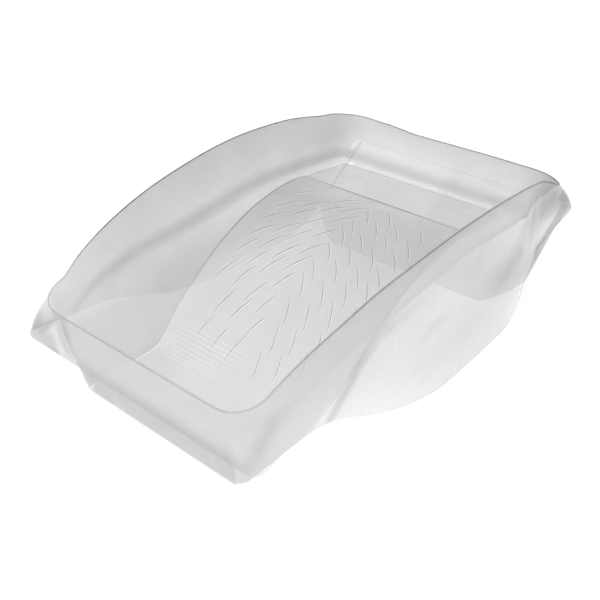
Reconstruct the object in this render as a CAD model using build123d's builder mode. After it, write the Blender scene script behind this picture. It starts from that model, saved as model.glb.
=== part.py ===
"""Paint roller tray: one thin see-through moulding, written as the zones it folds into."""
from math import atan2, cos, degrees, hypot, radians, sin, sqrt
import os

from build123d import *

# --- driving dimensions, millimetres; y is counted from the front bottom edge of the well ---
wall = 1.6
rim_width = 4.5
rim_crown = 1.0
floor_half_width = 108.0
floor_length = 85.0
ramp_end = 352.0
ramp_top = 113.0
shelf_length = 103.0
shelf_drop = 9.0
front_rim_y = -18.0
front_rim_height = 102.0
front_lip_y = -29.0
front_lip_height = 62.0
rear_rim_y = 489.0
rear_hem_y = 518.0
rear_hem_height = 98.0
foot_y = 403.0
foot_half_width = 118.0
rib_length = 30.0
rib_width = 2.0
rib_height = 1.4
rib_rows = 10
ribs_per_half_row = 5

mid_y = (front_lip_y + rear_hem_y) / 2
shelf_fall = shelf_drop / shelf_length

# --- the long lines of the moulding on the right-hand side: (y, x, z) ---
foot_of_wall = [(13, 108, 1.6), (85, 108, 1.6), (98, 109, 5), (112, 111, 15), (130, 114, 29),
                (156, 116, 48), (191, 116, 74), (216, 116, 88), (245, 116, 101), (278, 116, 110),
                (312, 116, 114.6), (335, 116, 115), (352, 116, 113)]
crease = [(13, 131, 79), (40, 137, 88), (66, 140, 95), (114, 141, 103), (185, 141, 107),
          (248, 141, 113), (296, 141, 116), (352, 141, 113), (404, 140, 108.5), (430, 138, 106.2)]
rim = [(13, 136, 117), (42, 140, 131), (85, 146, 146), (132, 150, 158), (185, 154, 166),
       (246, 157, 172), (300, 158, 173), (366, 157, 169), (400, 155, 164), (430, 153, 158)]
hem = [(13, 150, 62), (71, 152, 60), (123, 159, 37), (166, 163, 19), (217, 166, 4), (250, 167, 0),
       (370, 167, 0), (395, 165, 5), (415, 161.5, 17), (430, 157, 32)]
side_stations = [13, 31, 49, 67, 85, 98, 112, 130, 150, 170, 191, 216, 245, 278, 312, 335, 352,
                 370, 385, 400, 415, 430]

# --- the corners: hub position, then how far each line stands off the hub (side, end, radius) ---
front_hub = (95.0, 13.0)
front_turn = [0, -15, -28, -38, -48, -60, -75, -90]
rear_hub = (100.0, 430.0)
rear_turn = [0, 12, 24, 35, 45, 55, 66, 78, 90]
rear_rim_heights = [158, 156, 154, 151.5, 149.5, 148, 146.5, 145.5, 145]
rear_hem = [(57, 32), (54, 45), (53, 56), (62, 65), (77, 78), (105, rear_hem_height)]


def smooth_at(table, y):
    """Point (x, z) on a smooth line through the table."""
    last = len(table) - 2
    i = 0
    while i < last and table[i + 1][0] < y:
        i = i + 1
    before = table[max(i - 1, 0)]
    here = table[i]
    there = table[i + 1]
    after = table[min(i + 2, len(table) - 1)]
    span = there[0] - here[0]
    t = (y - here[0]) / span
    result = []
    for k in (1, 2):
        leave = (there[k] - before[k]) / (there[0] - before[0]) * span
        arrive = (after[k] - here[k]) / (after[0] - here[0]) * span
        rise = there[k] - here[k]
        value = here[k] + leave * t + (3 * rise - 2 * leave - arrive) * t**2
        value = value + (leave + arrive - 2 * rise) * t**3
        result.append(value)
    return result[0], result[1]


def shelf_height(y):
    """Top of the sloping rear shelf."""
    return ramp_top - shelf_fall * (y - ramp_end)


def reach(side, end, radius, angle):
    """Distance from a hub to a rounded corner, looking along the angle."""
    c = cos(radians(abs(angle)))
    s = sin(radians(abs(angle)))
    if s * side <= (end - radius) * c:
        return side / c
    if c * end <= (side - radius) * s:
        return end / s
    across = c * (side - radius) + s * (end - radius)
    gap = (side - radius)**2 + (end - radius)**2 - radius**2
    return across + sqrt(across**2 - gap)


def upright(hub, angle):
    """Upright sketch plane through a hub; its x axis looks outward along the angle."""
    c = cos(radians(angle))
    s = sin(radians(angle))
    return Plane(origin=(hub[0], hub[1] - mid_y, 0), x_dir=(c, s, 0), z_dir=(s, -c, 0))


def station(hub, angle, foot, fold, top, low):
    """All the skin points of one upright cut through the wall, the rim and the skirt."""
    run = top[0] - fold[0]
    rise = top[1] - fold[1]
    length = hypot(run, rise)
    fall = shelf_fall * sin(radians(angle)) if angle > 0 else 0
    return {
        "plane": upright(hub, angle),
        "foot": foot,
        "foot_under": (foot[0] + 1.2, foot[1] - wall),
        "fold": fold,
        "fold_under": (fold[0] + 1.0, fold[1] - wall - fall),
        "top": top,
        "top_under": (top[0] + wall * rise / length, top[1] - wall * run / length),
        "crown_in": (top[0] + 0.3 * rim_width, top[1] + rim_crown),
        "crown_out": (top[0] + 0.7 * rim_width, top[1] + rim_crown),
        "edge": (top[0] + rim_width, top[1] - 1.0),
        "edge_in": (top[0] + rim_width - wall, top[1] - 1.6),
        "hem": low,
        "hem_in": (low[0] - wall, low[1]),
    }


def side_station(y):
    """One cut square across the tray."""
    low = smooth_at(hem, y)
    low = (low[0], max(low[1], 0))
    fold = smooth_at(crease, y)
    if y > ramp_end:
        fold = (fold[0], shelf_height(y))
    foot = (floor_half_width, wall)
    if y > floor_length:
        foot = smooth_at(foot_of_wall, min(y, ramp_end))
    return station((0, y), 0, foot, fold, smooth_at(rim, y), low)


def front_station(angle):
    """One cut through a front corner."""
    part = abs(angle) / 90
    foot = (reach(13, 13, 13, angle), wall)
    fold = (reach(36, 24, 18, angle), 79 - 15 * part)
    top = (reach(41, front_hub[1] - front_rim_y, 18, angle), 117 + (front_rim_height - 117) * part)
    low = (reach(55 + 2 * part, front_hub[1] - front_lip_y, 10, angle), front_lip_height)
    return station(front_hub, angle, foot, fold, top, low)


def rear_station(index):
    """One cut through a rear corner."""
    angle = rear_turn[index]
    reach_fold = reach(38, 25, 16, angle)
    fold = (reach_fold, shelf_height(rear_hub[1] + reach_fold * sin(radians(angle))))
    top = (reach(53, rear_rim_y - rear_hub[1], 38, angle), rear_rim_heights[index])
    low = (reach(61, rear_hem_y - rear_hub[1], 2, angle), rear_hem_height)
    if index < len(rear_hem):
        low = rear_hem[index]
    return station(rear_hub, angle, (0, fold[1]), fold, top, low)


def slid_to_middle(cut, hub, angle):
    """The same cut, moved along x to the middle of the tray."""
    moved = dict(cut)
    moved["plane"] = upright((0, hub[1]), angle)
    return moved


def section(cut, names):
    """Flat face through the named points of a cut."""
    with BuildSketch(cut["plane"]) as sketch:
        with BuildLine():
            Polyline(*[cut[name] for name in names], close=True)
        make_face()
    return sketch.sketch.faces()[0]


def sections(cuts, names):
    return [section(cut, names) for cut in cuts]


def spot(cut, name):
    """A named point of a cut, in tray coordinates."""
    return cut["plane"].from_local_coords((cut[name][0], cut[name][1], 0))


def plate(cuts, upper, lower):
    """Top and bottom outline of a flat zone whose edge follows the cuts on both sides."""
    faces = []
    for name in (upper, lower):
        right = [spot(cut, name) for cut in cuts]
        left = [Vector(-p.X, p.Y, p.Z) for p in reversed(right)]
        faces.append(Face(Wire.make_polygon(right + left, close=True)))
    return faces


def ramp_section(cut):
    """Full-width cut through the ramp at one station."""
    x, z = cut["foot"]
    under_x, under_z = cut["foot_under"]
    with BuildSketch(cut["plane"]) as sketch:
        with BuildLine():
            Polyline((-x, z), (x, z), (under_x, under_z), (-under_x, under_z), close=True)
        make_face()
    return sketch.sketch.faces()[0]


def rib_spot(x, y, lean):
    """Where one raised stroke lies on the ramp: along the slope, turned by the lean."""
    ahead = smooth_at(foot_of_wall, y + 4)[1]
    behind = smooth_at(foot_of_wall, y - 4)[1]
    height = smooth_at(foot_of_wall, y)[1]
    pitch = degrees(atan2(ahead - behind, 8))
    return Location((x, y - mid_y, height), (pitch, 0, 0)) * Location((0, 0, 0), (0, 0, lean))


def rib_spots():
    """Staggered rows of strokes that lean in towards the middle line, feather fashion."""
    spots = []
    for row in range(rib_rows):
        y = 122 + row * 22.5
        lean = 18 + 4 * row
        shift = 9 if row % 2 else 0
        for column in range(ribs_per_half_row):
            x = 14 + shift + column * 20
            spots.append(rib_spot(x, y, lean))
            spots.append(rib_spot(-x, y, -lean))
    return spots


side = [side_station(y) for y in side_stations]
front = [front_station(angle) for angle in front_turn]
front.append(slid_to_middle(front[-1], front_hub, -90))
rear = [rear_station(index) for index in range(len(rear_turn))]
rear.append(slid_to_middle(rear[-1], rear_hub, 90))
well_side = [cut for cut, y in zip(side, side_stations) if y <= floor_length]
ramp_side = [cut for cut, y in zip(side, side_stations) if floor_length <= y <= ramp_end]
shelf_side = [cut for cut, y in zip(side, side_stations) if y >= ramp_end]

wall_names = ("foot", "fold", "fold_under", "foot_under")
flange_names = ("fold", "top", "top_under", "fold_under")
rim_names = ("top", "crown_in", "crown_out", "edge", "edge_in", "top_under")
skirt_names = ("edge", "hem", "hem_in", "edge_in")

# --- the well ---
with BuildPart() as well_floor:
    floor_edge = list(reversed(front[:-1])) + well_side[1:]
    loft(sections=plate(floor_edge, "foot", "foot_under"), ruled=True)

with BuildPart() as front_wall_lower:
    loft(sections=sections(front, wall_names), ruled=True)
    mirror(about=Plane.YZ)

with BuildPart() as front_wall_upper:
    loft(sections=sections(front, flange_names), ruled=True)
    mirror(about=Plane.YZ)

with BuildPart() as right_well_wall:
    loft(sections=sections(well_side, wall_names), ruled=True)

with BuildPart() as left_well_wall:
    mirror(right_well_wall.part, about=Plane.YZ)

# --- the ramp and the ledges beside it ---
with BuildPart() as ramp:
    loft(sections=[ramp_section(cut) for cut in ramp_side], ruled=True)
    with Locations(*rib_spots()):
        Box(rib_width, rib_length, 2 * rib_height)
    with Locations(*[rib_spot(0, 100 + 5 * k, 0) for k in range(4)]):
        Box(150, 1.2, 1.2)

with BuildPart() as right_ramp_ledge:
    loft(sections=sections(ramp_side, wall_names), ruled=True)

with BuildPart() as left_ramp_ledge:
    mirror(right_ramp_ledge.part, about=Plane.YZ)

with BuildPart() as rear_shelf:
    loft(sections=plate(shelf_side + rear[1:-1], "fold", "fold_under"), ruled=True)

# --- the upper walls that lean out from the crease to the rim ---
with BuildPart() as right_upper_wall:
    loft(sections=sections(side, flange_names), ruled=True)

with BuildPart() as left_upper_wall:
    mirror(right_upper_wall.part, about=Plane.YZ)

with BuildPart() as rear_upper_wall:
    loft(sections=sections(rear, flange_names), ruled=True)
    mirror(about=Plane.YZ)

# --- the rim, where the skin folds over ---
with BuildPart() as front_rim:
    loft(sections=sections(front, rim_names), ruled=True)
    mirror(about=Plane.YZ)

with BuildPart() as right_rim:
    loft(sections=sections(side, rim_names), ruled=True)

with BuildPart() as left_rim:
    mirror(right_rim.part, about=Plane.YZ)

with BuildPart() as rear_rim:
    loft(sections=sections(rear, rim_names), ruled=True)
    mirror(about=Plane.YZ)

# --- the outer skirts ---
with BuildPart() as front_skirt:
    loft(sections=sections(front, skirt_names), ruled=True)
    mirror(about=Plane.YZ)

with BuildPart() as right_skirt:
    loft(sections=sections(side, skirt_names), ruled=True)

with BuildPart() as left_skirt:
    mirror(right_skirt.part, about=Plane.YZ)

with BuildPart() as rear_skirt:
    loft(sections=sections(rear, skirt_names), ruled=True)
    mirror(about=Plane.YZ)


def foot_section(x, low):
    """Slanted cut through the rear foot at one x, from the rear hem down to low (y, z)."""
    thick = 1.55 * wall
    with BuildSketch(Plane(origin=(x, -mid_y, 0), x_dir=(0, 1, 0), z_dir=(1, 0, 0))) as sketch:
        with BuildLine():
            Polyline((rear_hem_y, rear_hem_height), low, (low[0] - thick, low[1]),
                     (rear_hem_y - thick, rear_hem_height), close=True)
        make_face()
    return sketch.sketch.faces()[0]


with BuildPart() as rear_foot:
    foot_cuts = [(0, (foot_y, 0)), (foot_half_width - 8, (foot_y, 0)), (foot_half_width, (408, 4)),
                 (130, (432, 25)), (142, (466, 54)), (152, (495, 79))]
    loft(sections=[foot_section(x, low) for x, low in foot_cuts], ruled=True)
    mirror(about=Plane.YZ)

pieces = {
    "well_floor": well_floor,
    "front_wall_lower": front_wall_lower,
    "front_wall_upper": front_wall_upper,
    "right_well_wall": right_well_wall,
    "left_well_wall": left_well_wall,
    "ramp": ramp,
    "right_ramp_ledge": right_ramp_ledge,
    "left_ramp_ledge": left_ramp_ledge,
    "rear_shelf": rear_shelf,
    "right_upper_wall": right_upper_wall,
    "left_upper_wall": left_upper_wall,
    "rear_upper_wall": rear_upper_wall,
    "front_rim": front_rim,
    "right_rim": right_rim,
    "left_rim": left_rim,
    "rear_rim": rear_rim,
    "front_skirt": front_skirt,
    "right_skirt": right_skirt,
    "left_skirt": left_skirt,
    "rear_skirt": rear_skirt,
    "rear_foot": rear_foot,
}

os.makedirs("parts", exist_ok=True)
for name, piece in pieces.items():
    piece.part.label = name
    export_step(piece.part, "parts/" + name + ".step")
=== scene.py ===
"""Paint roller tray: one milky see-through moulding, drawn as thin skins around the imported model."""
import bpy
import bmesh
import math
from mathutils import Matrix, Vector, noise


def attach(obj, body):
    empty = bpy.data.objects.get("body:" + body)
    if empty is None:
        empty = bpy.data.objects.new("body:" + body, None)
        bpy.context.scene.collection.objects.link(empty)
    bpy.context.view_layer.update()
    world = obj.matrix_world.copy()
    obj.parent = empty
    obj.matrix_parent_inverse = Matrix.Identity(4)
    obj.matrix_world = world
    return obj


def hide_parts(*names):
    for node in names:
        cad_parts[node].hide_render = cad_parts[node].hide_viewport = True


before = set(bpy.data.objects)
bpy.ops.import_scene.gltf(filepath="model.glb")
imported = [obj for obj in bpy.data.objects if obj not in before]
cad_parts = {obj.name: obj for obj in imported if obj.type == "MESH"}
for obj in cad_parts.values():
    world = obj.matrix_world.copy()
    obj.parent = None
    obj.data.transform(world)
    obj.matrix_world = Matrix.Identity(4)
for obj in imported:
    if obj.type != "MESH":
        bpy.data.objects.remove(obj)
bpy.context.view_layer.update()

scene = bpy.context.scene
MM = 0.001
MID_Y = 244.5          # the tray's middle, counted from the front bottom edge of the well
SKIN = 1.2             # thickness of the moulding

# ---------------------------------------------------------------- the tray's sizes, all in mm
FLOOR_TOP = 1.6
FLOOR_HALF = 108.0
RAMP_START = 85.0
RAMP_END = 352.0
RAMP_TOP = 113.0         # where the ramp ends and the shelf begins
SHELF_END = 430
SHELF_FALL = 9.0 / 103.0
SHELF_STRIP = 25         # the shelf's outer strip, which belongs to the inner walls

# the long lines on the right-hand side, (y, x, z)
FOOT_LINE = [(13, 108, 1.6), (85, 108, 1.6), (98, 109, 5), (112, 111, 15), (130, 114, 29),
             (156, 116, 48), (191, 116, 74), (216, 116, 88), (245, 116, 101), (278, 116, 110),
             (312, 116, 114.6), (335, 116, 115), (352, 116, 113)]
FOLD_LINE = [(13, 131, 79), (40, 137, 88), (66, 140, 95), (114, 141, 103), (185, 141, 107),
             (248, 141, 113), (296, 141, 116), (352, 141, 113), (404, 140, 108.5), (430, 138, 106.2)]
RIM_LINE = [(13, 134.5, 115.5), (42, 140, 131), (85, 146, 146), (132, 150, 158), (185, 154, 166),
            (246, 157, 172), (300, 158, 173), (366, 157, 169), (400, 155, 164), (430, 153, 158)]
HEM_LINE = [(13, 150, 62), (71, 152, 55), (123, 159, 33), (166, 163, 16), (217, 166, 3), (250, 166.5, 0),
            (365, 165, 0), (392, 162, 6), (413, 158.5, 18), (430, 154, 32)]

# the corners: each is a hub (x, y) and, seen from it, (reach to the side, reach to the end, radius)
FRONT_HUB = (95.0, 13.0)
FRONT_FOOT = (13, 15, 8)
FRONT_FOLD = (36, 24, 18)
FRONT_RIM = (39.5, 31, 25)
FRONT_HEM = (55, 42, 12)
FRONT_HEM_SPREAD = 6.5   # how much further the hem reaches to the side once round the corner
FRONT_FOLD_TOP, FRONT_FOLD_FALL = 79, 15
FRONT_RIM_TOP, FRONT_RIM_FALL = 115.5, 13.5
LIP_HEIGHT = 62.0
REAR_HUB = (100.0, 430.0)
REAR_FOLD = (38, 25, 16)
REAR_RIM = (53, 59, 38)
# round the rear corner: (angle, height of the rim, reach of the hem, height of the hem)
REAR_TURN = [(0, 158, 54, 32), (12, 156, 54, 45), (24, 154, 53, 56), (35, 151.5, 62, 65),
             (45, 149.5, 77, 78), (55, 148, 105, 98), (66, 146.5, 96.3, 98), (78, 145.5, 90, 98),
             (90, 145, 88, 98)]
REAR_HEM_Y, REAR_HEM_Z = 518, 98

# the rolled rim bead
BEAD = 1.8               # its width
BEAD_IN = 1.2            # how far it stands out from the upper wall's line
BEAD_RISE = 0.9

# how far the rear edge hangs, (x, down, out), and where that starts and is complete
REAR_SAG = [(-200, 0, 0), (-90, 0, 0), (-50, 3.5, 0), (60, 3, 0), (110, 4, 1), (130, 6, 4), (145, 9, 8),
            (160, 12, 10), (200, 12, 10)]
SAG_FROM_Y, SAG_OVER_Y = 425, 55
SAG_FROM_Z, SAG_OVER_Z = 100, 42

# how finely the sheets are divided
ACROSS_STEP, SIDE_STEP = 8, 4.0
REAR_ACROSS_START = 88
FRONT_TURN_STEP, REAR_TURN_STEP = 5, 3
LOWER_STEPS, UPPER_STEPS, BEAD_STEPS, SKIRT_STEPS, FOOT_STEPS = 14, 16, 8, 34, 24


# ---------------------------------------------------------------- small geometry helpers
def share(value):
    """The value, held between 0 and 1."""
    return max(0.0, min(1.0, value))


def bump_mask(t, centre, width):
    """One at the centre, fading to nothing a width away."""
    d = abs(t - centre) / width
    return 0.0 if d >= 1 else (1 - d * d) ** 2


def steps(a, b, count):
    """Even steps from a to b, both included."""
    return [a + (b - a) * i / count for i in range(count + 1)]


def smooth_at(table, y):
    """The values of a table at y, on a smooth line through its rows."""
    i = 0
    while i < len(table) - 2 and table[i + 1][0] < y:
        i += 1
    before, here = table[max(i - 1, 0)], table[i]
    there, after = table[i + 1], table[min(i + 2, len(table) - 1)]
    span = there[0] - here[0]
    t = (y - here[0]) / span
    out = []
    for k in range(1, len(here)):
        leave = (there[k] - before[k]) / (there[0] - before[0]) * span
        arrive = (after[k] - here[k]) / (after[0] - here[0]) * span
        rise = there[k] - here[k]
        out.append(here[k] + leave * t + (3 * rise - 2 * leave - arrive) * t * t
                   + (leave + arrive - 2 * rise) * t ** 3)
    return out


def reach(side, end, radius, angle):
    """Distance from a hub to a rounded corner, looking along the angle."""
    c, s = math.cos(math.radians(abs(angle))), math.sin(math.radians(abs(angle)))
    if s * side <= (end - radius) * c:
        return side / c
    if c * end <= (side - radius) * s:
        return end / s
    across = c * (side - radius) + s * (end - radius)
    return across + math.sqrt(across ** 2 - (side - radius) ** 2 - (end - radius) ** 2 + radius ** 2)


def bed_height(y):
    """Top of the floor, the arched ramp and the shelf along the middle line."""
    if y <= RAMP_START:
        return FLOOR_TOP
    if y <= RAMP_END:
        return smooth_at(FOOT_LINE, y)[1]
    return RAMP_TOP - SHELF_FALL * (y - RAMP_END)


def bed_half(y):
    """Half the width of the floor or the ramp at y."""
    if y < FRONT_HUB[1]:
        return FRONT_HUB[0] + math.sqrt(max(FRONT_FOOT[0] ** 2 - (FRONT_HUB[1] - y) ** 2, 0))
    if y <= RAMP_START:
        return FLOOR_HALF
    return smooth_at(FOOT_LINE, y)[0]


def shelf_half(y):
    """Half the width of the shelf's middle part at y."""
    return smooth_at(FOLD_LINE, y)[0] - SHELF_STRIP


# A cut is one upright slice through the wall, rim and skirt, seen from the inside outward. It holds
# its hub and angle, and its corner points (outward, up): foot, fold, rim and hem.
def side_cut(y):
    """A cut square across the tray."""
    foot = (FLOOR_HALF, FLOOR_TOP) if y <= RAMP_START else smooth_at(FOOT_LINE, min(y, RAMP_END))
    fold = list(smooth_at(FOLD_LINE, y))
    if y > RAMP_END:
        fold[1] = bed_height(y)
        foot = (fold[0] - SHELF_STRIP, fold[1])
    hem = smooth_at(HEM_LINE, y)
    return (0.0, y), 0.0, foot, fold, smooth_at(RIM_LINE, y), (hem[0], max(hem[1], 0.0))


def front_cut(angle):
    """A cut through a front corner."""
    part = abs(angle) / 90
    foot = (reach(*FRONT_FOOT, angle), FLOOR_TOP)
    fold = (reach(*FRONT_FOLD, angle), FRONT_FOLD_TOP - FRONT_FOLD_FALL * part)
    rim = (reach(*FRONT_RIM, angle), FRONT_RIM_TOP - FRONT_RIM_FALL * math.sin(math.radians(abs(angle))))
    side, end, radius = FRONT_HEM
    hem = (reach(side + FRONT_HEM_SPREAD * min(1.0, part * 3), end, radius, angle), LIP_HEIGHT)
    return FRONT_HUB, angle, foot, fold, rim, hem


def rear_cut(angle):
    """A cut through a rear corner."""
    fold_reach = reach(*REAR_FOLD, angle)
    fold = (fold_reach, bed_height(REAR_HUB[1] + fold_reach * math.sin(math.radians(angle))))
    rim_z, hem_reach, hem_z = smooth_at(REAR_TURN, angle)
    rim = (reach(*REAR_RIM, angle), rim_z)
    return REAR_HUB, angle, (max(fold_reach - SHELF_STRIP, 0), fold[1]), fold, rim, (hem_reach, hem_z)


def half_ring():
    """Cuts from the middle of the front, round the right side, to the middle of the rear."""
    cuts = []
    for x in range(0, int(FRONT_HUB[0]), ACROSS_STEP):
        hub, angle, *points = front_cut(-90)
        cuts.append(((x, hub[1]), angle, *points))
    cuts += [front_cut(angle) for angle in range(-90, 0, FRONT_TURN_STEP)]
    y = FRONT_HUB[1]
    while y < REAR_HUB[1] - 1:
        cuts.append(side_cut(y))
        y += SIDE_STEP
    cuts += [rear_cut(angle) for angle in range(0, 91, REAR_TURN_STEP)]
    for x in range(REAR_ACROSS_START, -1, -ACROSS_STEP):
        hub, angle, *points = rear_cut(90)
        cuts.append(((x, hub[1]), angle, *points))
    return cuts


HALF = half_ring()


def place(hub, angle, point):
    """A point (outward, up) of a cut, in metres in the shared frame."""
    c, s = math.cos(math.radians(angle)), math.sin(math.radians(angle))
    return Vector(((hub[0] + point[0] * c) * MM, (hub[1] + point[0] * s - MID_Y) * MM, point[1] * MM))


def settle(v):
    """The thin rear edge hangs a little, most at its right-hand corner."""
    x, y, z = v.x / MM, v.y / MM + MID_Y, v.z / MM
    back = share((y - SAG_FROM_Y) / SAG_OVER_Y)
    high = share((z - SAG_FROM_Z) / SAG_OVER_Z)
    much = back * back * (3 - 2 * back) * high
    if much:
        i = 0
        while REAR_SAG[i + 1][0] < x:
            i += 1
        (xa, down_a, out_a), (xb, down_b, out_b) = REAR_SAG[i], REAR_SAG[i + 1]
        t = (x - xa) / (xb - xa)
        v.x += (out_a + (out_b - out_a) * t) * much * MM
        v.z -= (down_a + (down_b - down_a) * t) * much * MM


def run(a, b, count, bow=0.0):
    """Points from a up to, not including, b, bowed sideways in the middle."""
    dx, dz = b[0] - a[0], b[1] - a[1]
    size = math.hypot(dx, dz) or 1.0
    out = []
    for i in range(count):
        t = i / count
        lift = bow * 4 * t * (1 - t)
        out.append((a[0] + dx * t + lift * dz / size, a[1] + dz * t - lift * dx / size))
    return out


# ---------------------------------------------------------------- making the sheets
def new_sheet():
    """An empty mesh and its layer of greyness, which mostly holds painted shade: 0 plain, 1 grey, below 0
    clearer than plain.
    """
    bm = bmesh.new()
    return bm, bm.verts.layers.float.new("fold")


def finish_mesh(name, bm, skin=SKIN, offset=-1.0, even=True):
    """Turns the faces outward, makes the object and gives the sheet its thickness."""
    bmesh.ops.recalc_face_normals(bm, faces=bm.faces)
    mesh = bpy.data.meshes.new(name)
    bm.to_mesh(mesh)
    bm.free()
    for p in mesh.polygons:
        p.use_smooth = True
    piece = bpy.data.objects.new(name, mesh)
    scene.collection.objects.link(piece)
    if skin:
        solid = piece.modifiers.new("skin", "SOLIDIFY")
        solid.thickness = skin * MM
        solid.offset = offset
        solid.use_even_offset = even
        solid.material_offset_rim = 1
    return piece


def ring_mesh(name, section):
    """Sheet through the cuts and their mirror images; section gives [(point, right grey, left grey), ...]."""
    bm, fold = new_sheet()
    rows, left = [], []
    for cut in HALF:
        row, other = [], []
        for point, right_grey, left_grey in section(cut):
            v = bm.verts.new(place(cut[0], cut[1], point))
            v[fold] = right_grey
            row.append(v)
            off_middle = abs(row[0].co.x) > 1e-6
            if off_middle:
                w = bm.verts.new((-v.co.x, v.co.y, v.co.z))
                w[fold] = left_grey
                other.append(w)
        rows.append(row)
        left.insert(0, other or row)
    ring = rows + left[1:-1]
    for row in ring:
        for v in row:
            settle(v.co)
    for a, b in zip(ring, ring[1:] + ring[:1]):
        for i in range(len(a) - 1):
            bm.faces.new((a[i], b[i], b[i + 1], a[i + 1]))
    return finish_mesh(name, bm)


def sheet_mesh(name, ys, half_of, columns, greyness):
    """A sheet laid across the tray, row by row, following the floor, the ramp or the shelf."""
    bm, fold = new_sheet()
    rows = []
    for y in ys:
        half = half_of(y)
        row = []
        for i in range(columns + 1):
            x = half * (2 * i / columns - 1)
            v = bm.verts.new((x * MM, (y - MID_Y) * MM, bed_height(y) * MM))
            v[fold] = greyness(x, y)
            row.append(v)
        rows.append(row)
    for a, b in zip(rows, rows[1:]):
        for i in range(columns):
            bm.faces.new((a[i], a[i + 1], b[i + 1], b[i]))
    return finish_mesh(name, bm)


# ---------------------------------------------------------------- materials
class Value:
    """One socket of a material, so that sums on it read as sums."""

    def __init__(self, nodes, socket):
        self.nodes, self.socket = nodes, socket

    def _math(self, operation, other, first=False):
        a, b = (other, self) if first else (self, other)
        return self.nodes.node("ShaderNodeMath", {"operation": operation}, {0: a, 1: b})

    def __add__(self, other):
        return self._math("ADD", other)

    def __radd__(self, other):
        return self._math("ADD", other, True)

    def __sub__(self, other):
        return self._math("SUBTRACT", other)

    def __rsub__(self, other):
        return self._math("SUBTRACT", other, True)

    def __mul__(self, other):
        return self._math("MULTIPLY", other)

    def __rmul__(self, other):
        return self._math("MULTIPLY", other, True)


class Nodes:
    """A new material and the one way its nodes are made."""

    def __init__(self, name):
        self.material = bpy.data.materials.new(name)
        self.material.use_nodes = True
        self.tree = self.material.node_tree
        self.shader = self.tree.nodes["Principled BSDF"]

    def node(self, kind, settings=None, inputs=None, output=0):
        """A new node, its settings first and then its inputs; gives back one of its outputs."""
        made = self.tree.nodes.new(kind)
        for key, value in (settings or {}).items():
            setattr(made, key, value)
        self.set(made, inputs)
        return Value(self, made.outputs[output])

    def set(self, made, inputs):
        """Links or sets the inputs of a node."""
        for key, value in (inputs or {}).items():
            if isinstance(value, Value):
                self.tree.links.new(value.socket, made.inputs[key])
            else:
                made.inputs[key].default_value = value

    def finish(self, **inputs):
        """Sets the shader's own inputs and gives back the material."""
        self.set(self.shader, {key.replace("_", " "): value for key, value in inputs.items()})
        return self.material


MIX_LOW, MIX_HIGH, MIX_RESULT = 6, 7, 2      # the Mix node's two colour inputs and its colour output


def between(nodes, factor, low, high):
    """A grey between two others."""
    return nodes.node("ShaderNodeMix", {"data_type": "RGBA"},
                      {0: factor, MIX_LOW: (low, low, low, 1), MIX_HIGH: (high, high, high, 1)},
                      output=MIX_RESULT)


def noise_on(nodes, spot, **inputs):
    """A noise laid over the surface."""
    return nodes.node("ShaderNodeTexNoise", None, {"Vector": spot, **inputs})


TO_HEIGHT = 5.8                      # from metres up to 0 at the ground and about 1 at the rim
TO_DEPTH, DEPTH_START = 1.83, 0.5    # from metres back to 0 at the front and 1 at the rear
HIGH_SHADE_OPACITY, BACK_OPACITY = 0.12, 0.045   # how much more opaque the plastic is made at the rim, as painted shade, and at the rear
CLOUD_MILK, FLOW_MILK = 0.10, 0.05   # the same for its clouds and for its flow marks
FOLD_DEEP, HIGH_DEEP = 0.6, 0.5      # how much the greyness layer and height deepen the tone; both carry painted shade


def milky_plastic(name, clear, grey, pale, deep, gloss, painted_glow=0.24):
    """See-through moulded plastic with painted shade: darker and more opaque high up, greyer where the sheet
    folds; also more opaque at the back.

    clear is its body where it is thinnest and grey what a fold adds; it goes from pale to deep as it
    gets greyer. The painted_glow is painted light: emission standing for light scattered inside, lifting the
    shaded inner layers.
    """
    n = Nodes(name)
    spot = n.node("ShaderNodeTexCoord", output="Object")
    up = n.node("ShaderNodeSeparateXYZ", None, {0: spot}, output="Z") * TO_HEIGHT
    back = n.node("ShaderNodeSeparateXYZ", None, {0: spot}, output="Y") * TO_DEPTH + DEPTH_START
    # the greyness layer, mostly painted shade along creases, bends and shaded places
    fold = n.node("ShaderNodeAttribute", {"attribute_name": "fold"}, output="Fac")
    cloud = noise_on(n, spot, Scale=13.0, Detail=3.0)
    flow = noise_on(n, spot, Scale=38.0, Detail=4.0, Distortion=0.7)
    grain = noise_on(n, spot, Scale=900.0, Detail=2.0)
    haze = (cloud - 0.5) * CLOUD_MILK + (flow - 0.5) * FLOW_MILK
    # painted shade: opacity and colour rise with height and with the greyness layer
    body = up * up * HIGH_SHADE_OPACITY + back * BACK_OPACITY + haze + clear + fold * grey
    colour = between(n, fold * FOLD_DEEP + up * HIGH_DEEP, pale, deep)
    bump = n.node("ShaderNodeBump", None, {"Height": flow * 0.6 + grain * 0.08, "Strength": 0.25,
                                           "Distance": 0.0015})
    # the emission is painted light that brightens every layer
    return n.finish(Base_Color=colour, Alpha=body, Roughness=(cloud - 0.5) * 0.12 + gloss, Normal=bump,
                    IOR=1.42, Emission_Color=colour, Emission_Strength=painted_glow)


PLASTIC = milky_plastic("milky_clear_plastic", 0.225, grey=0.16, pale=0.57, deep=0.24, gloss=0.28)
SKIRT_PLASTIC = milky_plastic("outer_skirt_plastic", 0.205, grey=0.20, pale=0.58, deep=0.25, gloss=0.28)
BEAD_PLASTIC = milky_plastic("rolled_rim_plastic", 0.14, grey=0.25, pale=0.28, deep=0.09, gloss=0.24,
                             painted_glow=0.0)
# dark lines: the strokes' thicker plastic with painted shade on their shaded side, and the ramp's dark
# outline
STROKE_PLASTIC = milky_plastic("raised_stroke_plastic", 0.06, grey=0.20, pale=0.28, deep=0.06, gloss=0.22,
                               painted_glow=0.0)
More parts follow.
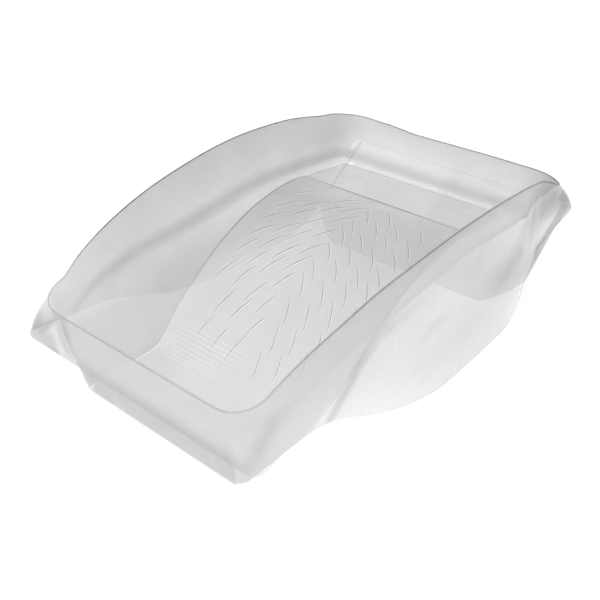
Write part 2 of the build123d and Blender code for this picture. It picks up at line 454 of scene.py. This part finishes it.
# bright lines: painted highlights beside the strokes and along the fillets, and the lines at the ramp's foot
SHINE_PLASTIC = milky_plastic("bright_line_plastic", 0.30, grey=0.0, pale=0.98, deep=0.98, gloss=0.20)
EDGE_PLASTIC = milky_plastic("clear_edge_plastic", -0.07, grey=0.02, pale=0.6, deep=0.5, gloss=0.28)
HEM_PLASTIC = milky_plastic("hem_edge_plastic", 0.22, grey=0.10, pale=0.45, deep=0.25, gloss=0.28)


def dress(piece, material, *nodes):
    """Gives a piece its plastic, its cut edge's plastic and its body, and hides the CAD nodes it stands for.
    """
    piece.data.materials.append(material)
    piece.data.materials.append(HEM_PLASTIC if material is SKIRT_PLASTIC else EDGE_PLASTIC)
    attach(piece, "root")
    if nodes:
        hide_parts(*nodes)


# ---------------------------------------------------------------- walls, rim and skirt
LOWER_BOW, UPPER_BOW = 1.2, -1.5         # how far the walls bow between their lines
SKIRT_BOW, BELLY_BOW = -3.0, -1.0
# painted shade along the crease between the lower and upper wall: its strength and half width
CREASE_SHADE, CREASE_WIDE = 0.75, 15
CREASE_TURN = 35                         # degrees of the front corner in which the crease fades
# painted shade on the upper inside of the rear corner: its strength and the angle it centres on and spreads
# over
REAR_CORNER_SHADE, REAR_CORNER_TURN = 0.9, 42
FRONT_WALL_TURN = -60                    # from here round to the middle it is the front wall
SIDE_CLEARER = 0.65                      # how much clearer the right side wall is
NEAR_CLEARER, NEAR_LENGTH = 0.8, 230     # and how much more near the front, fading over this length
LOW_GREY, LOW_FROM, LOW_OVER = 0.9, 108, 50            # the left wall greys downward from this height
FRONT_CLEARER, FRONT_LOW_FROM, FRONT_LOW_OVER = 0.25, 64, 20
# the bead's dark line is partly its thicker plastic and partly painted shade, darker with height, on the left
# half and round the rear
BEAD_GREY, BEAD_GREY_FRONT, BEAD_GREY_FROM, BEAD_GREY_OVER = 1.7, 0.7, 95, 55
HEM_CLEARER_RIGHT, HEM_CLEARER_LEFT, HEM_CLEARER_WIDE = 0.15, 0.45, 40
BELLY_GREY, BELLY_FROM, BELLY_OVER = 0.45, 100, 50
BELLY_MIDDLE, BELLY_REACH = 300, 200

# soft bands of painted shade where the skirt bends: points (x, y, z, strength), half width, right share, left
# share
SKIRT_SHADE_BANDS = [
    ([(0, -29, 64, 0.75), (95, -29, 64, 0.8), (140, -29, 64, 0.7)], 12, 1.0, 1.0),
    ([(142, -29, 64, 0.7), (149, -25, 74, 0.45), (150, -10, 88, 0.5), (148, 4, 94, 0.45), (150, 34, 97, 0.1)],
     12, 1.0, 0.0),
    ([(116, -29, 70, 1.2), (136, -29, 72, 1.2), (153, -26, 66, 1.0), (156, -12, 66, 0.6)], 36, 0.0, 1.0),
    ([(106, -25, 96, 0.9), (119, -27, 85, 1.5), (131, -28, 74, 1.6)], 9, 0.0, 1.0),
    ([(102, -24, 100, 0.9), (92, -28, 86, 1.1), (84, -30, 72, 1.1)], 18, 0.0, 1.0),
    ([(104, -29, 64, 1.6), (116, -29, 64, 1.5)], 10, 0.0, 1.0),
    ([(152, 69, 57, 0.85), (154, 82, 74, 0.95), (157, 103, 98, 0.85), (159, 131, 117, 0.45),
      (163, 201, 124, 0.1)], 10, 1.0, 0.2),
    ([(165, 184, 76, 0.05), (166, 215, 86, 0.35), (167, 249, 88, 0.05)], 10, 1.0, 0.2),
    ([(167, 310, 80, 0.05), (166, 350, 80, 0.6), (163, 385, 92, 0.7)], 30, 1.0, 0.4),
    ([(165, 405, 120, 0.6), (160, 455, 125, 1.2), (162, 490, 122, 1.2), (160, 515, 105, 1.1)], 42, 1.0, 0.4),
]


def bands_at(point):
    """How much painted shade the skirt's bands give at a point on the right and at its mirror image on the
    left.
    """
    right = left = 0.0
    for spine, half_width, right_share, left_share in SKIRT_SHADE_BANDS:
        for (ax, ay, az, sa), (bx, by, bz, sb) in zip(spine, spine[1:]):
            a, b = Vector((ax, ay, az)), Vector((bx, by, bz))
            line = b - a
            t = share((point - a).dot(line) / line.length_squared)
            value = (sa + (sb - sa) * t) * bump_mask((point - a - line * t).length, 0, half_width)
            right, left = max(right, value * right_share), max(left, value * left_share)
    return right, left


def bend(angle):
    """How much the crease shows, from 0 on the straight front to 1 on the sides and the rear."""
    return 1.0 if angle >= 0 else max(0.0, 1 + angle / CREASE_TURN)


def wall_greyness(hub, angle, height, t, crease):
    """Right and left greyness of the inner wall; t is 1 at its foot, 0 at the crease and -1 at the rim. The
    crease and the rear corner get painted shade; the right wall is made clearer, most near the front, and the
    left wall greyer low down.
    """
    if angle > 0:
        # painted shade high on the inside of the rear corner
        corner = REAR_CORNER_SHADE * bump_mask(angle, REAR_CORNER_TURN, REAR_CORNER_TURN) * max(0.0, -t) ** 0.5
        return max(crease, corner), crease
    if angle > FRONT_WALL_TURN:
        low = share((LOW_FROM - height) / LOW_OVER)
        near = max(0.0, 1 - hub[1] / NEAR_LENGTH)
        return max(crease, 0.1) - SIDE_CLEARER - NEAR_CLEARER * near, max(crease, LOW_GREY * low)
    front = share((FRONT_LOW_FROM - height) / FRONT_LOW_OVER) - FRONT_CLEARER
    return front, front


def inner_section(cut):
    """From the foot of the wall, over the crease and up to the rim."""
    hub, angle, foot, fold, rim, hem = cut
    top = (rim[0] + BEAD_IN, rim[1])
    rise = math.hypot(top[0] - fold[0], top[1] - fold[1])
    lower = math.hypot(fold[0] - foot[0], fold[1] - foot[1])
    below = [(p, 1 - i / LOWER_STEPS) for i, p in enumerate(run(foot, fold, LOWER_STEPS, LOWER_BOW))]
    above = [(p, -i / UPPER_STEPS) for i, p in enumerate(run(fold, top, UPPER_STEPS, UPPER_BOW))]
    out = []
    for p, t in below + above + [(top, -1.0)]:
        away = t * lower if t > 0 else -t * rise
        # painted shade along the crease
        crease = CREASE_SHADE * bend(angle) * bump_mask(away, 0, CREASE_WIDE)
        out.append((p, *wall_greyness(hub, angle, p[1], t, crease)))
    return out


def bead_section(cut):
    """A rolled bead, open underneath, from the upper wall over to the skirt."""
    hub, angle, foot, fold, rim, hem = cut
    middle = rim[0] + BEAD_IN + BEAD / 2
    # painted shade: the bead greys with the rim's height, more on the left half and round the rear than on
    # the right
    grey = share((rim[1] - BEAD_GREY_FROM) / BEAD_GREY_OVER)
    right_grey, left_grey = (BEAD_GREY if angle > 0 else BEAD_GREY_FRONT) * grey, BEAD_GREY * grey
    out = []
    for turn in (math.pi * i / BEAD_STEPS for i in range(BEAD_STEPS + 1)):
        point = (middle - BEAD / 2 * math.cos(turn), rim[1] + BEAD_RISE * math.sin(turn))
        out.append((point, right_grey, left_grey))
    return out


def skirt_section(cut):
    """From the outer edge of the bead down to the hem."""
    hub, angle, foot, fold, rim, hem = cut
    edge = (rim[0] + BEAD_IN + BEAD, rim[1])
    near_ground = hem[1] <= 20
    bow = BELLY_BOW if near_ground else SKIRT_BOW
    out = []
    for p in run(edge, hem, SKIRT_STEPS, bow) + [tuple(hem)]:
        right, left = bands_at(place(hub, angle, p) / MM + Vector((0, MID_Y, 0)))
        to_hem = math.hypot(p[0] - hem[0], p[1] - hem[1])
        clearer = max(0.0, 1 - to_hem / HEM_CLEARER_WIDE) if angle > -10 else 0.0
        low = share((BELLY_FROM - p[1]) / BELLY_OVER)
        belly = BELLY_GREY * low * bump_mask(hub[1], BELLY_MIDDLE, BELLY_REACH)
        out.append((p, right + belly - HEM_CLEARER_RIGHT * clearer,
                    left + belly - HEM_CLEARER_LEFT * clearer))
    return out


dress(ring_mesh("inner_walls_and_ledges", inner_section), PLASTIC,
      "front_wall_lower", "front_wall_upper", "right_well_wall", "left_well_wall", "right_ramp_ledge",
      "left_ramp_ledge", "right_upper_wall", "left_upper_wall", "rear_upper_wall")
dress(ring_mesh("rolled_rim_bead", bead_section), BEAD_PLASTIC,
      "front_rim", "right_rim", "left_rim", "rear_rim")
dress(ring_mesh("outer_skirt", skirt_section), SKIRT_PLASTIC,
      "front_skirt", "right_skirt", "left_skirt", "rear_skirt")


# ---------------------------------------------------------------- floor, ramp and shelf
BED_GREY, SHELF_GREY = 0.52, 0.55
# painted shade over the ramp's crest: strength, where and how long; then the darker patch
CREST_SHADE, CREST_Y, CREST_LONG = 0.27, 310, 110
PATCH_GREY, PATCH_Y, PATCH_LONG, PATCH_X, PATCH_WIDE = 0.15, 300, 60, -50, 75
BED_ROWS, BED_COLUMNS, SHELF_ROWS, SHELF_COLUMNS = 120, 90, 20, 40


def bed_greyness(x, y):
    """The floor and the ramp, with painted shade over the crest and a darker patch left of the middle."""
    crest = CREST_SHADE * bump_mask(y, CREST_Y, CREST_LONG)
    patch = PATCH_GREY * bump_mask(y, PATCH_Y, PATCH_LONG) * bump_mask(x, PATCH_X, PATCH_WIDE)
    return BED_GREY + crest + patch


def shelf_greyness(x, y):
    """The shelf is the same all over."""
    return SHELF_GREY


bed_rows = steps(0, 12, 6) + steps(14, RAMP_END, BED_ROWS)
dress(sheet_mesh("well_floor_and_ramp", bed_rows, bed_half, BED_COLUMNS, bed_greyness), PLASTIC,
      "well_floor", "ramp")
shelf_rows = steps(RAMP_END, SHELF_END, SHELF_ROWS)
dress(sheet_mesh("rear_shelf_sheet", shelf_rows, shelf_half, SHELF_COLUMNS, shelf_greyness), PLASTIC,
      "rear_shelf")


# ---------------------------------------------------------------- raised strokes and lines
RIDGE_PROFILE = ((-1, -0.15), (-0.5, 0.75), (0, 1), (0.5, 0.75), (1, -0.15))    # (across, up), as shares
STROKE_ROWS, STROKE_COLUMNS, STROKE_POINTS = 10, 4, 8
STROKE_CURVE = 24              # degrees that a stroke turns from end to end
STROKE_RIDGE = (1.1, 0.6, 0.85)          # width, height and greyness
FLANK_RIDGE = (0.9, 0.45, 0.0)           # painted highlight: the lit flank of a stroke
FLANK_ASIDE = (1.3, -0.5)                # how far it lies from the stroke
FOOT_LINES, FOOT_LINE_GAP = 9, 4.2
FOOT_RIDGE = (0.8, 0.35, 0.0)
# painted highlight along the fillet at the floor's sides
FILLET_RIDGE = (1.3, 0.6, 0.0)
SIDE_RIDGE = (1.2, 0.5, 1.5)
CREST_RIDGE = (1.4, 0.6, 1.0)


def ridge(bm, fold, spine, wide, high, grey):
    """A thin raised line on the sheet with tapered ends, along points (x, y)."""
    rows = []
    last = len(spine) - 1
    for i, (x, y) in enumerate(spine):
        ahead = spine[min(i + 1, last)]
        behind = spine[max(i - 1, 0)]
        dx, dy = ahead[0] - behind[0], ahead[1] - behind[1]
        size = math.hypot(dx, dy) or 1.0
        taper = max(0.12, math.sin(math.pi * (0.06 + 0.88 * i / last)) ** 0.6)
        row = []
        for side, up in RIDGE_PROFILE:
            px, py = x + side * wide / 2 * taper * dy / size, y - side * wide / 2 * taper * dx / size
            v = bm.verts.new((px * MM, (py - MID_Y) * MM, (bed_height(py) + up * high * taper) * MM))
            v[fold] = grey * (0.55 + 0.45 * math.sin(math.pi * i / last))
            row.append(v)
        rows.append(row)
    for a, b in zip(rows, rows[1:]):
        for i in range(4):
            bm.faces.new((a[i], b[i], b[i + 1], a[i + 1]))
        bm.faces.new((a[4], b[4], b[0], a[0]))
    bm.faces.new(list(reversed(rows[0])))
    bm.faces.new(rows[-1])


def stroke_spines():
    """Curved strokes in rows that lean towards the middle line, more steeply near the top."""
    out = []
    for row in range(STROKE_ROWS):
        for column in range(STROKE_COLUMNS):
            for way in (-1, 1):
                seed = Vector((column * 3.7 + 0.3, row * 2.9 + 0.7, way * 5.1))
                x = 20 + 24 * column + 5 * noise.noise(seed)
                y = 110 + 23.5 * row + 6 * column + 6 * noise.noise(seed * 1.7)
                length = 26 + 1.5 * row + 7 * noise.noise(seed * 2.3)
                lean = math.radians(6 + min(20, 5 * row) + 6 * noise.noise(seed * 3.1))
                past_crest = y + length > RAMP_END - 6
                beside_foot = row < 2 and column == STROKE_COLUMNS - 1
                if past_crest or beside_foot:
                    continue
                spine = []
                for i in range(STROKE_POINTS + 1):
                    spine.append((way * x, y))
                    turn = lean + math.radians(STROKE_CURVE) * i / STROKE_POINTS
                    x -= length / STROKE_POINTS * math.sin(turn)
                    y += length / STROKE_POINTS * math.cos(turn)
                out.append(spine)
    return out


def strokes_mesh():
    """The raised strokes that roll the paint out."""
    bm, fold = new_sheet()
    for spine in stroke_spines():
        ridge(bm, fold, spine, *STROKE_RIDGE)
    return finish_mesh("ramp_strokes", bm, skin=0)


def shine_mesh():
    """Thin bright lines: painted highlights on the lit flanks of the strokes and along the fillet, and the
    lines at the ramp's foot.
    """
    bm, fold = new_sheet()
    for spine in stroke_spines():
        ridge(bm, fold, [(x + FLANK_ASIDE[0], y + FLANK_ASIDE[1]) for x, y in spine], *FLANK_RIDGE)
    for i in range(FOOT_LINES):
        y = 89 + FOOT_LINE_GAP * i
        start = -106 + 12 * abs(noise.noise(Vector((i * 1.3, 2.2, 0.4))))
        ridge(bm, fold, [(x, y) for x in steps(start, -34 + 5 * i, 24)], *FOOT_RIDGE)
    for side in (-1, 1):
        fillet = [(side * (bed_half(y) - 1.0), y) for y in steps(50, 130, 20)]
        ridge(bm, fold, fillet, *FILLET_RIDGE)
    return finish_mesh("bright_lines", bm, skin=0)


def outline_mesh():
    """The crisp line along the ramp's two sides and its far edge."""
    bm, fold = new_sheet()
    radius = 10
    corner_y = RAMP_END - radius
    for side in (-1, 1):
        flank = [(side * (bed_half(y) - 0.5), y) for y in steps(150, corner_y, 40)]
        corner = [(side * (106 + radius * math.cos(t)), corner_y + radius * math.sin(t))
                  for t in steps(0.15, math.pi / 2, 8)]
        ridge(bm, fold, flank + corner, *SIDE_RIDGE)
    ridge(bm, fold, [(x, RAMP_END) for x in steps(-FLOOR_HALF, FLOOR_HALF, 40)], *CREST_RIDGE)
    return finish_mesh("ramp_outline", bm, skin=0)


dress(strokes_mesh(), STROKE_PLASTIC)
dress(shine_mesh(), SHINE_PLASTIC)
dress(outline_mesh(), STROKE_PLASTIC)


# ---------------------------------------------------------------- the foot under the rear
FOOT_Y = 403             # where the slanted panel meets the ground
FOOT_CORNER = [(100, 403, 0), (110, 403.5, 0.5), (117, 406, 2.5), (124, 410, 6), (134, 416, 12),
               (144, 423, 20)]


def foot_mesh():
    """The slanted foot panel under the rear, from the rear hem forward to the ground."""
    bm, fold = new_sheet()
    lows = [(x, FOOT_Y, 0) for x in range(0, 100, 12)] + FOOT_CORNER
    for turn in range(0, 49, 6):
        hub, angle, *_, hem = rear_cut(turn)
        low = place(hub, angle, hem) / MM
        lows.append((low.x, low.y + MID_Y, low.z))
    rows = []
    for x, y, z in lows:
        row = []
        for t in steps(0, 1, FOOT_STEPS):
            v = bm.verts.new((x * MM, (REAR_HEM_Y + (y - REAR_HEM_Y) * t - MID_Y) * MM,
                              (REAR_HEM_Z + (z - REAR_HEM_Z) * t) * MM))
            # painted shadow: a grey band low on the panel, strongest toward its right end; elsewhere a little
            # clearer
            v[fold] = max(0.0, 1 - abs(t - 0.8) / 0.6) * share(x / 100 - 0.3) - 0.25
            row.append(v)
        rows.append(row)
    left = [[bm.verts.new((-v.co.x, v.co.y, v.co.z)) for v in row] for row in rows[1:]]
    for row, right in zip(left, rows[1:]):
        for v, w in zip(row, right):
            # the left half is made clearer still
            v[fold] = min(w[fold], 0.0) - 0.6
    chain = list(reversed(left)) + rows
    for a, b in zip(chain, chain[1:]):
        for i in range(FOOT_STEPS):
            bm.faces.new((a[i], a[i + 1], b[i + 1], b[i]))
    return finish_mesh("rear_foot_panel", bm, offset=0.0, even=False)


dress(foot_mesh(), PLASTIC, "rear_foot")


# ---------------------------------------------------------------- floor, light and camera
def studio():
    """A white floor, an even bright sky, one very soft lamp and the camera."""
    n = Nodes("pale_floor")
    speck = n.node("ShaderNodeTexNoise", None, {"Scale": 60.0})
    white = n.finish(Base_Color=between(n, speck, 0.54, 0.58), Roughness=0.9,
                     Emission_Color=(1, 1, 1, 1), Emission_Strength=0.50)
    half, drop = 12.0, -0.0002
    mesh = bpy.data.meshes.new("studio_floor")
    mesh.from_pydata([(-half, -half, drop), (half, -half, drop), (half, half, drop), (-half, half, drop)],
                     [], [(0, 1, 2, 3)])
    mesh.materials.append(white)
    ground = bpy.data.objects.new("studio_floor", mesh)
    scene.collection.objects.link(ground)

    world = bpy.data.worlds.new("studio")
    world.use_nodes = True
    sky = world.node_tree.nodes["Background"]
    sky.inputs["Color"].default_value = (1, 1, 1, 1)
    sky.inputs["Strength"].default_value = 1.0
    scene.world = world

    lamp = bpy.data.lights.new("soft_sun", "SUN")
    lamp.energy = 0.7
    lamp.angle = math.radians(70)
    sun = bpy.data.objects.new("soft_sun", lamp)
    sun.rotation_euler = (math.radians(28), math.radians(-22), 0)
    scene.collection.objects.link(sun)

    lens = bpy.data.cameras.new("camera")
    lens.lens = 49.32
    lens.sensor_width = 36
    eye = bpy.data.objects.new("camera", lens)
    eye.location = (0.4839, -0.6059, 0.530)
    eye.rotation_euler = (math.radians(57.3), 0, math.radians(40.38))
    scene.collection.objects.link(eye)
    scene.camera = eye
    scene.view_settings.view_transform = "Standard"
    scene.cycles.transparent_max_bounces = 40     # enough for every skin that a line of sight crosses


studio()
